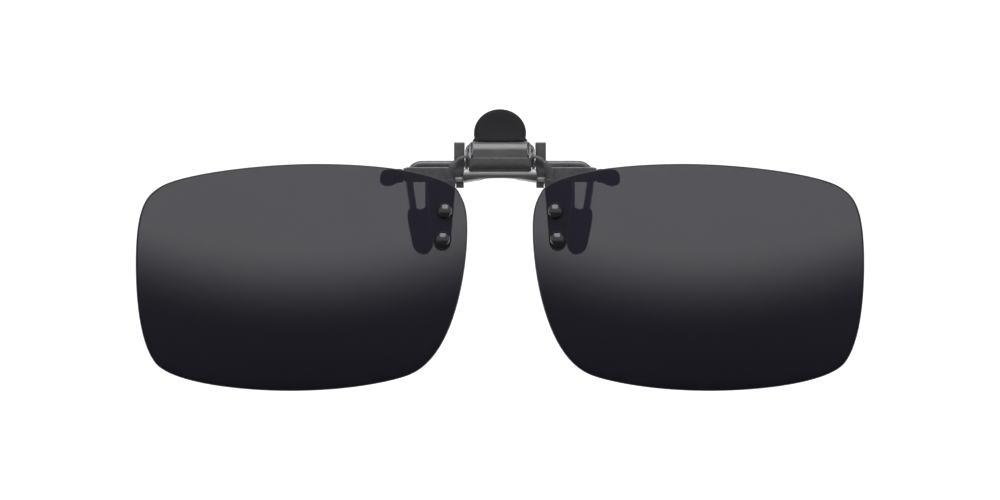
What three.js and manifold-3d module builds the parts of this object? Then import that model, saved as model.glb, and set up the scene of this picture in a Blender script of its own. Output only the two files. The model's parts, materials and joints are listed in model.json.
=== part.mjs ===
// Flip-up clip-on sunglasses, in millimetres, +Z up.
// They hang in front of a pair of spectacles: the wearer's face is on +Y, and left and right are
// the wearer's, so the left lens is on +X. The design frame has its X axis along the hinge pin.
// The exported frame is that frame moved back, so that its origin lies between the clip's jaws.
import * as THREE from 'three';
import { mergeVertices } from 'three/addons/utils/BufferGeometryUtils.js';
import Module from 'manifold-3d';

const wasm = await Module();
wasm.setup();

// ---------- driving dimensions ----------
const ROUND = 16; // sides of a small round piece
const ARC_STEPS = 8; // a curved stretch of an outline has about twice as many
const GRIP_PLANE_Y = 1.9; // the plane in which the jaws hold the spectacles

const pin = { radius: 0.6, halfLength: 6.2, chamfer: 0.12 };
const boreRadius = 0.66;
const drillReach = 7; // a drill is longer than anything it goes through
const crownShare = 0.7; // the flat end of a rivet's tail, as a share of its radius
const barrel = { sheet: 0.4, corner: 1.62, halfWidth: 4.85, cheek: 0.5, from: 50, low: -1.4 };
const barrelCentre = { y: 0.58, z: 0.88 }; // of the roll's rounded corners, in front and behind
const apron = { thickness: 0.42, topHalfWidth: 6.05, endHalfWidth: 6.75, halfWidth: 8.1 };
const apronTop = -2.5;
const apronEnd = -4.0;
const flange = { front: -1.6, back: -1.2, inner: 3.6, innerBottom: -4.4, outer: 6.5, outerBottom: -4.83 };
const apronMiddle = { halfWidth: 2.7, stepHalfWidth: 3.35, bottom: -3.84, arch: 0.07 };
const spring = { radius: 1.35, wire: 0.24, turns: 8, halfWidth: 3.9, restingLeg: 1.5, pushingLeg: 2.2 };
const washer = { from: 4.88, to: 5.02, radius: 1.6 };
const bridge = { halfWidth: 5.58, front: -3.3, back: -2.7, top: -0.36, bottom: -2.5 };
const bridgeEar = { from: 5.13, radius: 2.05, startDegrees: -100, endDegrees: 122 };
const armStrip = { front: -2.95, back: -1.25, centreX: 5.58, centreZ: -3.4, bottom: -5.7, gap: 0.03 };
const armOuter = { x: 3.92, z: 3.55 };
const armInner = { x: 2.67, z: 3.05 };
const lens = { x: 35.5, y: -4.9, z: -21.6, wrap: 0.07, sphere: 140, thickness: 1.05, rings: 4 };
const lensStepsPerCurve = 9;
const rivetsAt = { x: 10.25, z: -12.4, upper: [-0.2, 2.52], lower: [0.2, -2.52] };
const lensHoleRadius = 1.0;
const rivet = { head: 1.35, dome: 1.15, shank: 0.6, tail: 0.95, tailHeight: 0.4 };
const frontWasher = { from: -1.27, to: -1.09, radius: 1.5 };
const bushing = { sleeve: 0.94, flange: 1.45, front: -1.05, flangeFrom: 0.14, flangeTo: 0.3 };
const rivetPlate = { from: 0.33, to: 0.93, holeRadius: 0.72 };
const plateEnd = { x: 0.15, z: -3.0, radius: 1.5 };
const sheet = { front: 0.25, back: 0.85 }; // the flat metal of the front jaw
const sleeve = { front: -0.35, back: 1.6, slotFit: 0.08 };
const lever = { front: 2.7, back: 3.2, top: 2.68, shoulder: 1.2, bottom: -0.85 };
const leverEar = { from: 5.7, to: 6.22, radius: 1.05, shoulder: 0.7 };
const tab = { lean: THREE.MathUtils.degToRad(20), footZ: 2.45, halfWidth: 3.8, height: 5.1 };
const thumb = { halfWidth: 4.68, rise: 4.55, centre: 1.72, rubber: 0.85, slotFit: 0.07, bottomZ: 2.92 };
const thumbFoot = { halfWidth: 4.92, waist: 4.5, waistHeight: 0.85, height: 0.3, from: -0.6 };
const wire = { radius: 0.65, sides: 8, steps: 66, startX: 0.15, channelFit: 0.07 };
const pad = { front: 2.2, back: 4.25 };

// ---------- colours ----------
const gunmetal = { color: 0x5d5c60, roughness: 0.36, metalness: 0.95 };
const paleMetal = { color: 0x8f8f92, roughness: 0.34, metalness: 0.95 };
const darkMetal = { color: 0x2f2f33, roughness: 0.4, metalness: 0.9 };
const polished = { color: 0x77757a, roughness: 0.12, metalness: 1 };
const rubber = { color: 0x17171a, roughness: 0.75, metalness: 0 };
const nylon = { color: 0x2b2b2e, roughness: 0.5, metalness: 0 };
const smoke = { color: 0x24232b, roughness: 0.08, metalness: 0, transparent: true, opacity: 0.8 };

// ---------- solids ----------
function toSolid(geometry) {
  const bare = geometry.clone();
  bare.deleteAttribute('normal');
  bare.deleteAttribute('uv');
  const merged = mergeVertices(bare, 1e-4);
  return new wasm.Manifold(new wasm.Mesh({
    numProp: 3,
    vertProperties: merged.attributes.position.array,
    triVerts: new Uint32Array(merged.index.array),
  }));
}

function toGeometry(solid) {
  const mesh = solid.getMesh();
  const geometry = new THREE.BufferGeometry();
  geometry.setAttribute('position', new THREE.BufferAttribute(mesh.vertProperties, 3));
  geometry.setIndex(new THREE.BufferAttribute(mesh.triVerts, 1));
  geometry.computeVertexNormals();
  return geometry;
}

const join = (first, ...others) => others.reduce((sum, next) => sum.add(next), first);
const cut = (first, ...others) => others.reduce((rest, next) => rest.subtract(next), first);

// A piece for the wearer's right is the left one mirrored in X, with its triangles turned over.
function forSide(geometry, side) {
  if (side > 0) return geometry;
  const mirrored = mergeVertices(geometry.clone().scale(-1, 1, 1));
  const { index } = mirrored;
  for (let i = 0; i < index.count; i += 3) {
    const first = index.getX(i);
    index.setX(i, index.getX(i + 1));
    index.setX(i + 1, first);
  }
  return mirrored;
}

// ---------- outlines and sweeps ----------
const vector = (x, y, z) => new THREE.Vector3(x, y, z);

function polygon(points) {
  return new THREE.Shape(points.map(([x, y]) => new THREE.Vector2(x, y)));
}

function closedSpline(points, steps) {
  const curve = new THREE.SplineCurve([...points, points[0]].map(([x, y]) => new THREE.Vector2(x, y)));
  return new THREE.Shape(curve.getPoints(steps).slice(0, -1));
}

function extrude(shape, depth) {
  return new THREE.ExtrudeGeometry(shape, { depth, bevelEnabled: false, curveSegments: ARC_STEPS });
}

// A side outline in (y, z), drawn out along X.
function alongX(shape, from, to) {
  const turn = new THREE.Matrix4().makeBasis(vector(0, 1, 0), vector(0, 0, 1), vector(1, 0, 0));
  return extrude(shape, to - from).applyMatrix4(turn).translate(from, 0, 0);
}

// A front outline in (x, z), drawn out along Y.
function alongY(shape, front, back) {
  const turn = new THREE.Matrix4().makeBasis(vector(1, 0, 0), vector(0, 0, 1), vector(0, -1, 0));
  return extrude(shape, back - front).applyMatrix4(turn).translate(0, back, 0);
}

function circle(radius, sides = ROUND) {
  const corners = [];
  for (let i = 0; i < sides; i += 1) {
    const angle = (i / sides) * 2 * Math.PI;
    corners.push([radius * Math.cos(angle), radius * Math.sin(angle)]);
  }
  return polygon(corners);
}

function ring(outer, inner, sides = ROUND) {
  const shape = circle(outer, sides);
  shape.holes.push(new THREE.Path(circle(inner, sides).getPoints().reverse()));
  return shape;
}

// A bent sheet's side outline: a smooth line through the points, half the thickness on each side.
function bentSheet(points, thickness, steps) {
  const line = new THREE.SplineCurve(points.map(([x, y]) => new THREE.Vector2(x, y)));
  const sides = [[], []];
  for (let i = 0; i <= steps; i += 1) {
    const point = line.getPointAt(i / steps);
    const along = line.getTangentAt(i / steps);
    const across = new THREE.Vector2(-along.y, along.x).multiplyScalar(thickness / 2);
    sides[0].push(point.clone().add(across));
    sides[1].unshift(point.clone().sub(across));
  }
  return new THREE.Shape([...sides[0], ...sides[1]]);
}

// A profile of radius and place along Y, turned round Y.
function lathe(profile) {
  const points = profile.map(([radius, along]) => new THREE.Vector2(radius, along));
  return new THREE.LatheGeometry(points, ROUND);
}

function tube(path, radius, sides, steps) {
  return new THREE.ExtrudeGeometry(circle(radius, sides), { extrudePath: path, steps });
}

const pinBore = () => toSolid(alongX(circle(boreRadius), -drillReach, drillReach));

// ---------- front jaw: the fixed body ----------
// One sheet rolls over the spring, runs down behind the bridge plate and bulges into the apron,
// whose lower lip reaches back to the two flat arms. Cheeks close the ends of the roll.
function baseFrame() {
  const { y, z } = barrelCentre;
  const from = THREE.MathUtils.degToRad(barrel.from);
  const upright = Math.PI / 2;
  const inner = barrel.corner - barrel.sheet;
  const roll = new THREE.Shape();
  roll.absarc(y, z, barrel.corner, from, upright, false);
  roll.absarc(-y, z, barrel.corner, upright, Math.PI, false);
  roll.lineTo(-y - barrel.corner, barrel.low);
  roll.lineTo(-y - inner, barrel.low);
  roll.absarc(-y, z, inner, Math.PI, upright, true);
  roll.absarc(y, z, inner, upright, from, true);
  const rollSolid = toSolid(alongX(roll, -barrel.halfWidth, barrel.halfWidth));

  const down = [
    [-y - (barrel.corner + inner) / 2, barrel.low + 0.2], // a little inside the roll's end
    [-1.93, -2.25],
    [-2.15, -2.8],
    [-2.2, -3.3],
    [-1.85, -3.85],
    [-1.15, -4.12],
    [sheet.front - 0.05, -4.15],
  ];
  const bend = toSolid(alongX(bentSheet(down, apron.thickness, 18), -apron.halfWidth, apron.halfWidth));
  const belowLip = apronEnd - 0.6;
  const half = [
    [apronMiddle.halfWidth, apronMiddle.bottom - apronMiddle.arch],
    [apronMiddle.stepHalfWidth, belowLip],
    [apron.halfWidth, belowLip],
    [apron.halfWidth, apronEnd],
    [apron.endHalfWidth, apronEnd],
    [apron.topHalfWidth, apronTop],
    [barrel.halfWidth, apronTop + 0.2],
    [barrel.halfWidth, 0],
  ];
  const otherHalf = half.map(([x, z]) => [-x, z]).reverse();
  const front = polygon([[0, apronMiddle.bottom], ...half, ...otherHalf]);
  const apronSolid = bend.intersect(toSolid(alongY(front, -4, 1)));

  const cheek = new THREE.Shape();
  const middle = (barrel.corner + inner) / 2;
  cheek.absarc(y, z, middle, 0, upright, false);
  cheek.absarc(-y, z, middle, upright, Math.PI, false);
  cheek.absarc(-y, -y, middle, Math.PI, 3 * upright, false);
  cheek.absarc(y, -y, middle, 3 * upright, 4 * upright, false);
  const cheekFrom = barrel.halfWidth - barrel.cheek;
  const leftCheek = toSolid(alongX(cheek, cheekFrom, barrel.halfWidth));
  const rightCheek = toSolid(alongX(cheek, -barrel.halfWidth, -cheekFrom));
  const lip = polygon([
    [flange.inner - 0.2, apronEnd - 0.1],
    [flange.outer, apronEnd - 0.1],
    [flange.outer, flange.outerBottom],
    [flange.inner, flange.innerBottom],
  ]);
  const leftFlange = alongY(lip, flange.front, flange.back);
  const flanges = [1, -1].map((side) => toSolid(forSide(leftFlange, side)));
  return toGeometry(cut(join(rollSolid, apronSolid, leftCheek, rightCheek, ...flanges), pinBore()));
}

// A flat stamping: the stop tab above, the foot below, and the arm that carries the rubber sleeve.
const armTip = { x: 20.6, top: -2.75, bottom: -4.3, from: 17.25 };

function hookArm() {
  const outline = polygon([
    [6.3, 2.34],
    [8.45, 2.34],
    [8.45, -1.96],
    [16.5, -1.96],
    [armTip.from, -2.15],
    [armTip.from, armTip.top],
    [armTip.x - 0.4, armTip.top],
    [armTip.x, armTip.top - 0.4],
    [armTip.x, armTip.bottom],
    [armTip.from, armTip.bottom],
    [armTip.from - 0.35, -4.64],
    [8.3, -4.64],
    [7.85, -4.9],
    [7.85, -5.7],
    [6.45, -5.7],
    [6.45, -3.5],
    [6.3, -1.5],
  ]);
  return alongY(outline, sheet.front, sheet.back);
}

function hookSleeve() {
  const outline = closedSpline([
    [17.32, -2.2],
    [19.2, -2.2],
    [20.8, -2.55],
    [21.4, -3.6],
    [21.3, -4.9],
    [20.3, -5.38],
    [19.1, -5.2],
    [18.3, -4.8],
    [17.32, -4.66],
    [17.3, -3.4],
  ], 30);
  const { slotFit } = sleeve;
  const slotMouth = armTip.from - 0.15;
  const slot = polygon([
    [slotMouth, armTip.top + slotFit],
    [armTip.x + slotFit, armTip.top + slotFit],
    [armTip.x + slotFit, armTip.bottom - slotFit],
    [slotMouth, armTip.bottom - slotFit],
  ]);
  const body = toSolid(alongY(outline, sleeve.front, sleeve.back));
  const slotSolid = toSolid(alongY(slot, sheet.front - slotFit, sheet.back + slotFit));
  return toGeometry(cut(body, slotSolid));
}

function hingePin() {
  const { radius, halfLength, chamfer } = pin;
  const profile = [
    [0, -halfLength],
    [radius - chamfer, -halfLength],
    [radius, chamfer - halfLength],
    [radius, halfLength - chamfer],
    [radius - chamfer, halfLength],
    [0, halfLength],
  ];
  return lathe(profile).rotateZ(-Math.PI / 2);
}

// The spring starts with a straight leg that pushes on the lever above the pin, winds round the
// pin, and ends with a leg that rests inside the roll.
class SpringLine extends THREE.Curve {
  getPoint(t, target = new THREE.Vector3()) {
    const angle = (spring.turns + 0.25) * 2 * Math.PI;
    const coil = angle * spring.radius;
    const total = spring.pushingLeg + coil + spring.restingLeg;
    const distance = t * total;
    if (distance < spring.pushingLeg) {
      return target.set(-spring.halfWidth, spring.pushingLeg - distance, spring.radius);
    }
    if (distance > spring.pushingLeg + coil) {
      const down = distance - spring.pushingLeg - coil;
      return target.set(spring.halfWidth, -spring.radius, -down);
    }
    const share = (distance - spring.pushingLeg) / coil;
    const turned = Math.PI / 2 + share * angle;
    const x = spring.halfWidth * (2 * share - 1);
    return target.set(x, spring.radius * Math.cos(turned), spring.radius * Math.sin(turned));
  }
}

function torsionSpring() {
  return tube(new SpringLine(), spring.wire, 6, 92);
}

function frictionWasher() {
  return alongX(ring(washer.radius, boreRadius), washer.from, washer.to);
}

// ---------- bridge, arms and lenses: the body that flips up ----------
function bridgePlate() {
  const ear = new THREE.Shape();
  const start = THREE.MathUtils.degToRad(bridgeEar.startDegrees);
  const end = THREE.MathUtils.degToRad(bridgeEar.endDegrees);
  ear.moveTo(bridge.front, bridge.top);
  ear.lineTo(bridge.front, bridge.bottom);
  ear.lineTo(bridge.back, bridge.bottom);
  ear.absarc(0, 0, bridgeEar.radius, start, end, false);
  const plate = polygon([
    [bridge.front, bridge.top],
    [bridge.front, bridge.bottom],
    [bridge.back, bridge.bottom],
    [bridge.back, bridge.top],
  ]);
  const solid = join(
    toSolid(alongX(plate, -bridge.halfWidth, bridge.halfWidth)),
    toSolid(alongX(ear, bridgeEar.from, bridge.halfWidth)),
    toSolid(alongX(ear, -bridge.halfWidth, -bridgeEar.from)),
  );
  return toGeometry(cut(solid, pinBore()));
}

// The lens's frame stands on the middle of its rear face. The two rivets' frame stands on the
// rear face between them, with its -Y axis square to the lens.
function lensFrame(side) {
  const frame = new THREE.Group();
  frame.position.set(side * lens.x, lens.y, lens.z);
  frame.rotation.z = side * lens.wrap;
  frame.updateMatrix();
  return frame;
}

const rearFace = (x, z) => lens.sphere - Math.sqrt(lens.sphere ** 2 - x ** 2 - z ** 2);

function rivetFrame(side) {
  const x = (rivetsAt.x - lens.x) / Math.cos(lens.wrap);
  const z = rivetsAt.z - lens.z;
  const outward = vector(side * x, rearFace(x, z) - lens.sphere, z).normalize();
  const frame = new THREE.Group();
  frame.position.set(side * x, rearFace(x, z), z);
  frame.quaternion.setFromUnitVectors(vector(0, -1, 0), outward);
  frame.updateMatrix();
  return frame;
}

// Seen from the front, in the design frame's x and z: each curve runs from the last one's end,
// given by two handles and its own end.
const lensOutlineStart = [32.8, -1.46];
const lensOutline = [
  [43.2, -1.46, 57.5, -3.3, 60.9, -5.6],
  [63.4, -7.2, 65.1, -9.1, 65.1, -19],
  [65.1, -27, 64.1, -34, 61.5, -37.05],
  [58.4, -40.5, 46.2, -41.8, 37.5, -41.8],
  [26.3, -41.8, 18.4, -39.9, 16.1, -38.9],
  [8.2, -35.6, 6, -20.6, 6, -13.3],
  [6, -9.3, 6.6, -8.2, 7.5, -6.5],
  [8.9, -3.6, 18.6, -1.46, 32.8, -1.46],
];

function lensRim() {
  const path = new THREE.Path();
  path.moveTo(...lensOutlineStart);
  for (const curve of lensOutline) path.bezierCurveTo(...curve);
  const points = path.getPoints(lensStepsPerCurve).slice(0, -1);
  return points.map((point) => [(point.x - lens.x) / Math.cos(lens.wrap), point.y - lens.z]);
}

// The two faces are parts of concentric spheres, meshed as rings that shrink from the rim to the middle.
function lensBlank() {
  const rim = lensRim();
  const positions = [];
  const triangles = [];
  const outer = lens.sphere + lens.thickness;
  for (const front of [true, false]) {
    for (let ringNumber = lens.rings; ringNumber > 0; ringNumber -= 1) {
      for (const [rimX, rimZ] of rim) {
        const x = (rimX * ringNumber) / lens.rings;
        const z = (rimZ * ringNumber) / lens.rings;
        const y = front ? lens.sphere - Math.sqrt(outer ** 2 - x ** 2 - z ** 2) : rearFace(x, z);
        positions.push(x, y, z);
      }
    }
    positions.push(0, front ? -lens.thickness : 0, 0);
  }
  const perFace = rim.length * lens.rings + 1;
  const facing = (a, b, c, front) => triangles.push(a, front ? b : c, front ? c : b);
  for (const front of [true, false]) {
    const start = front ? 0 : perFace;
    for (let i = 0; i < rim.length; i += 1) {
      const next = (i + 1) % rim.length;
      for (let row = 0; row < lens.rings - 1; row += 1) {
        const here = start + row * rim.length;
        const inner = here + rim.length;
        facing(here + i, inner + i, inner + next, front);
        facing(here + i, inner + next, here + next, front);
      }
      const last = start + (lens.rings - 1) * rim.length;
      facing(last + i, start + perFace - 1, last + next, front);
    }
  }
  for (let i = 0; i < rim.length; i += 1) {
    const next = (i + 1) % rim.length;
    facing(i, next, perFace + next, true);
    facing(i, perFace + next, perFace + i, true);
  }
  const geometry = new THREE.BufferGeometry();
  geometry.setAttribute('position', new THREE.Float32BufferAttribute(positions, 3));
  geometry.setIndex(triangles);
  return geometry;
}

function lensLeft() {
  const frame = rivetFrame(1);
  const holes = [rivetsAt.upper, rivetsAt.lower].map(([x, z]) => {
    const drill = alongY(circle(lensHoleRadius), -drillReach, drillReach).translate(x, 0, z);
    return toSolid(drill.applyMatrix4(frame.matrix));
  });
  return toGeometry(cut(toSolid(lensBlank()), ...holes));
}

// The pieces on a rivet's axis stand along the rivet frame's Y.
function domeRivet() {
  const headFrom = frontWasher.from - 0.02;
  const tailFrom = rivetPlate.to + 0.03;
  const tailTo = tailFrom + rivet.tailHeight;
  const profile = [[0, headFrom - rivet.dome]];
  for (let degrees = 18; degrees <= 90; degrees += 18) {
    const angle = THREE.MathUtils.degToRad(degrees);
    profile.push([rivet.head * Math.sin(angle), headFrom - rivet.dome * Math.cos(angle)]);
  }
  profile.push([rivet.shank, headFrom], [rivet.shank, tailFrom], [rivet.tail, tailFrom]);
  profile.push([rivet.tail, tailTo - rivet.tailHeight / 2], [rivet.tail * crownShare, tailTo], [0, tailTo]);
  return lathe(profile);
}

function rivetWasher() {
  const { from, to, radius } = frontWasher;
  return lathe([[boreRadius, from], [radius, from], [radius, to], [boreRadius, to], [boreRadius, from]]);
}

function rivetBushing() {
  return lathe([
    [boreRadius, bushing.front],
    [bushing.sleeve, bushing.front],
    [bushing.sleeve, bushing.flangeFrom],
    [bushing.flange, bushing.flangeFrom],
    [bushing.flange, bushing.flangeTo],
    [boreRadius, bushing.flangeTo],
    [boreRadius, bushing.front],
  ]);
}

// The arm leaves the bridge as an edge-on strip that arches out and down, and its lower end is
// bent into the flat plate that the rivets hold against the lens.
function lensArm() {
  const strip = new THREE.Shape();
  const { centreX, centreZ, bottom, gap } = armStrip;
  const outerStart = Math.acos(gap / armOuter.x);
  const innerEnd = Math.acos(gap / armInner.x);
  strip.moveTo(centreX + gap, centreZ + armOuter.z);
  strip.absellipse(centreX, centreZ, armOuter.x, armOuter.z, outerStart, 0, true, 0);
  strip.lineTo(centreX + armOuter.x, bottom);
  strip.lineTo(centreX + armInner.x, bottom);
  strip.absellipse(centreX, centreZ, armInner.x, armInner.z, 0, innerEnd, false, 0);
  const stripSolid = toSolid(alongY(strip, armStrip.front, armStrip.back));

  const plate = new THREE.Shape();
  plate.moveTo(-2.4, 8.3);
  plate.lineTo(2.75, 8);
  plate.lineTo(2.6, 3.6);
  plate.lineTo(plateEnd.x + plateEnd.radius, plateEnd.z);
  plate.absarc(plateEnd.x, plateEnd.z, plateEnd.radius, 0, -Math.PI, true);
  const lensPlace = lensFrame(1).matrix;
  const rivetPlace = lensPlace.clone().multiply(rivetFrame(1).matrix);
  const plateGeometry = alongY(plate, rivetPlate.from, rivetPlate.to).applyMatrix4(rivetPlace);
  const holes = [rivetsAt.upper, rivetsAt.lower].map(([x, z]) => {
    const drill = alongY(circle(rivetPlate.holeRadius), -drillReach, drillReach).translate(x, 0, z);
    return toSolid(drill.applyMatrix4(rivetPlace));
  });
  return toGeometry(cut(join(stripSolid, toSolid(plateGeometry)), ...holes));
}

// ---------- clamp lever, wires and pads: the rear jaw ----------
// A plate behind the roll, with an ear folded forward to the pin on each side and a tab for the
// thumb that leans back.
function clampLever() {
  const half = [
    [leverEar.to, lever.bottom],
    [leverEar.to, lever.shoulder],
    [5.6, 2.15],
    [5.05, lever.top],
  ];
  const otherHalf = half.map(([x, z]) => [-x, z]).reverse();
  const back = toSolid(alongY(polygon([...half, ...otherHalf]), lever.front, lever.back));

  const ear = new THREE.Shape();
  ear.moveTo(lever.back, lever.bottom);
  ear.lineTo(lever.back, leverEar.shoulder);
  ear.absarc(0, 0, leverEar.radius, THREE.MathUtils.degToRad(85), Math.PI, false);
  ear.lineTo(-0.95, -2.3);
  ear.lineTo(-0.75, -2.5);
  ear.lineTo(0.2, -2.5);
  ear.lineTo(1.2, -1.3);
  ear.lineTo(2.2, lever.bottom);
  const earSolid = (from, to) => toSolid(alongX(ear, from, to));

  const tongue = tabOutline(tab.halfWidth, 0, tab.height);
  const tongueSolid = toSolid(leanBack(alongY(tongue, lever.front, lever.back)));
  const solid = join(
    back,
    earSolid(leverEar.from, leverEar.to),
    earSolid(-leverEar.to, -leverEar.from),
    tongueSolid,
  );
  return toGeometry(cut(solid, pinBore()));
}

// The tab's outline stands on its foot line and ends in a half circle.
function tabOutline(halfWidth, from, height) {
  const shape = new THREE.Shape();
  shape.moveTo(-halfWidth, from);
  shape.lineTo(halfWidth, from);
  shape.lineTo(halfWidth, height - halfWidth);
  shape.absarc(0, height - halfWidth, halfWidth, 0, Math.PI, false);
  return shape;
}

function leanBack(geometry) {
  const middle = (lever.front + lever.back) / 2;
  return geometry.translate(0, -middle, 0).rotateX(-tab.lean).translate(0, middle, tab.footZ);
}

// The rubber cap leans with the tab: rounded above, drawn in to a waist and spread at its foot. Its
// open end is cut level, just above the lever's plate.
function thumbPad() {
  const { halfWidth, rise, centre, rubber: thick, slotFit, bottomZ } = thumb;
  const { waist, waistHeight } = thumbFoot;
  const waistAngle = Math.acos(waist / halfWidth);
  const body = new THREE.Shape();
  body.moveTo(-thumbFoot.halfWidth, thumbFoot.from);
  body.lineTo(thumbFoot.halfWidth, thumbFoot.from);
  body.lineTo(thumbFoot.halfWidth, thumbFoot.height);
  body.lineTo(waist, waistHeight);
  body.absellipse(0, centre, halfWidth, rise, -waistAngle / 2, Math.PI + waistAngle / 2, false, 0);
  body.lineTo(-waist, waistHeight);
  body.lineTo(-thumbFoot.halfWidth, thumbFoot.height);
  const slot = tabOutline(tab.halfWidth + slotFit, thumbFoot.from - 1, tab.height + slotFit);
  const bodySolid = toSolid(leanBack(alongY(body, lever.front - thick, lever.back + thick)));
  const slotSolid = toSolid(leanBack(alongY(slot, lever.front - slotFit, lever.back + slotFit)));
  const trimSize = 4 * halfWidth;
  const trim = new THREE.BoxGeometry(trimSize, trimSize, trimSize);
  trim.translate(0, 0, bottomZ - trimSize / 2);
  return toGeometry(cut(bodySolid, slotSolid, toSolid(trim)));
}

// The wire runs along the lever's lower edge, out and back over the spectacles' rim, down, round
// inside the rubber pad, and up again to end under its own level stretch.
function wireLine() {
  const points = [
    [wire.startX, 2.95, -1.55],
    [3, 2.95, -1.55],
    [6.3, 2.98, -1.55],
    [10.2, 3.5, -1.55],
    [13.4, 4.0, -1.55],
    [14.6, 4.12, -1.62],
    [15.45, 4.17, -2.0],
    [16.0, 4.2, -2.75],
    [16.18, 4.18, -3.9],
    [16.05, 4.02, -5.8],
    [15.52, 3.45, -9.3],
    [15.18, 3.24, -12.2],
    [14.8, 3.22, -14.2],
    [13.95, 3.22, -15.3],
    [13.05, 3.22, -14.2],
    [12.78, 3.24, -12.2],
    [12.75, 3.42, -9.3],
    [12.75, 3.82, -5],
    [12.75, 3.9, -2.25],
  ];
  return new THREE.CatmullRomCurve3(points.map((point) => vector(...point)), false, 'centripetal');
}

function jawWire() {
  return tube(wireLine(), wire.radius, wire.sides, wire.steps);
}

function rearPad() {
  const outline = closedSpline([
    [16.5, -9.8],
    [15.6, -9.0],
    [14.25, -9.45],
    [12.9, -8.95],
    [11.95, -9.7],
    [11.85, -13],
    [12.05, -16.3],
    [13.3, -17.6],
    [15.1, -16.95],
    [16.0, -14.2],
  ], 40);
  const body = toSolid(alongY(outline, pad.front, pad.back));
  const channel = tube(wireLine(), wire.radius + wire.channelFit, wire.sides, wire.steps);
  return toGeometry(cut(body, toSolid(channel)));
}

// ---------- assembly ----------
function part(name, geometry, finish) {
  const mesh = new THREE.Mesh(geometry, new THREE.MeshStandardMaterial(finish));
  mesh.name = name;
  return mesh;
}

function frontJaw() {
  const body = new THREE.Group();
  body.add(
    part('base_frame', baseFrame(), paleMetal),
    part('hinge_pin', hingePin(), polished),
    part('torsion_spring', torsionSpring(), polished),
  );
  for (const [name, side] of [['left', 1], ['right', -1]]) {
    body.add(
      part(`hook_arm_${name}`, forSide(hookArm(), side), gunmetal),
      part(`hook_sleeve_${name}`, forSide(hookSleeve(), side), rubber),
      part(`friction_washer_${name}`, forSide(frictionWasher(), side), polished),
    );
  }
  return body;
}

function rivetedJoint(side, name, level) {
  const joint = new THREE.Group();
  const [x, z] = rivetsAt[level];
  joint.position.set(side * x, 0, z);
  joint.add(
    part(`rivet_${name}_${level}`, domeRivet(), polished),
    part(`rivet_washer_${name}_${level}`, rivetWasher(), nylon),
    part(`rivet_bushing_${name}_${level}`, rivetBushing(), nylon),
  );
  return joint;
}

function flipFront() {
  const body = new THREE.Group();
  body.add(part('bridge_plate', bridgePlate(), gunmetal));
  for (const [name, side] of [['left', 1], ['right', -1]]) {
    const lensPlace = lensFrame(side);
    const rivets = rivetFrame(side);
    rivets.add(rivetedJoint(side, name, 'upper'), rivetedJoint(side, name, 'lower'));
    lensPlace.add(part(`lens_${name}`, forSide(lensLeft(), side), smoke), rivets);
    body.add(part(`lens_arm_${name}`, forSide(lensArm(), side), darkMetal), lensPlace);
  }
  return body;
}

function rearJaw() {
  const body = new THREE.Group();
  body.add(
    part('clamp_lever', clampLever(), gunmetal),
    part('thumb_pad', thumbPad(), rubber),
  );
  for (const [name, side] of [['left', 1], ['right', -1]]) {
    body.add(
      part(`jaw_wire_${name}`, forSide(jawWire(), side), gunmetal),
      part(`rear_pad_${name}`, forSide(rearPad(), side), rubber),
    );
  }
  return body;
}

const clipOn = new THREE.Group();
clipOn.name = 'clip_on_sunglasses';
clipOn.position.y = -GRIP_PLANE_Y;
clipOn.add(frontJaw(), flipFront(), rearJaw());

export default clipOn;
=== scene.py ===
"""Looks of a pair of flip-up clip-on sunglasses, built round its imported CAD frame.

Sizes are in millimetres in the design frame, whose X axis is the hinge pin: +X is the wearer's left,
+Y points at the wearer's face and +Z is up. place() turns such a point into the row frame's metres.
"""

import json
import math

import bmesh
import bpy
import numpy as np
from mathutils import Matrix, Vector
from mathutils.geometry import delaunay_2d_cdt

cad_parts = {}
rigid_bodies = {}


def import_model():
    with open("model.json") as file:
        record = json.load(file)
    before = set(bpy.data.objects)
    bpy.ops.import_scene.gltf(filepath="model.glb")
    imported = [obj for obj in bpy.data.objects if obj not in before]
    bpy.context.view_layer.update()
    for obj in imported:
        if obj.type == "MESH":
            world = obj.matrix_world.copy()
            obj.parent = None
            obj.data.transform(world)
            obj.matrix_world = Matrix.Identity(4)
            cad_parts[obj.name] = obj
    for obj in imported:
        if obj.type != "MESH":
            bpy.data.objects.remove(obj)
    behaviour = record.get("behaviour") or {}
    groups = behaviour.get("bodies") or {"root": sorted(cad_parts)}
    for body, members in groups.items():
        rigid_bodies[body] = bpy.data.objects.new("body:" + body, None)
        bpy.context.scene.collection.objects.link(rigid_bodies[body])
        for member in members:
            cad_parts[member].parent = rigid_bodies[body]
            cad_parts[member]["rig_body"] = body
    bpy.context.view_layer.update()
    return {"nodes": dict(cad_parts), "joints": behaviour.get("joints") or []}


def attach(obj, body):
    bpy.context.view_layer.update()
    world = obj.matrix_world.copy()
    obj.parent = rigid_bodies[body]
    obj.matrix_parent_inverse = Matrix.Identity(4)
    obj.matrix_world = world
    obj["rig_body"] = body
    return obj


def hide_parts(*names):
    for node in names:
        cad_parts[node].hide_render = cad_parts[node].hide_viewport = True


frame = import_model()

MM = 0.001
PIN = Vector(next(j for j in frame["joints"] if j["name"] == "flip")["pos_m"])
SIDES = (("left", 1), ("right", -1))
LEVELS = ("upper", "lower")

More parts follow.
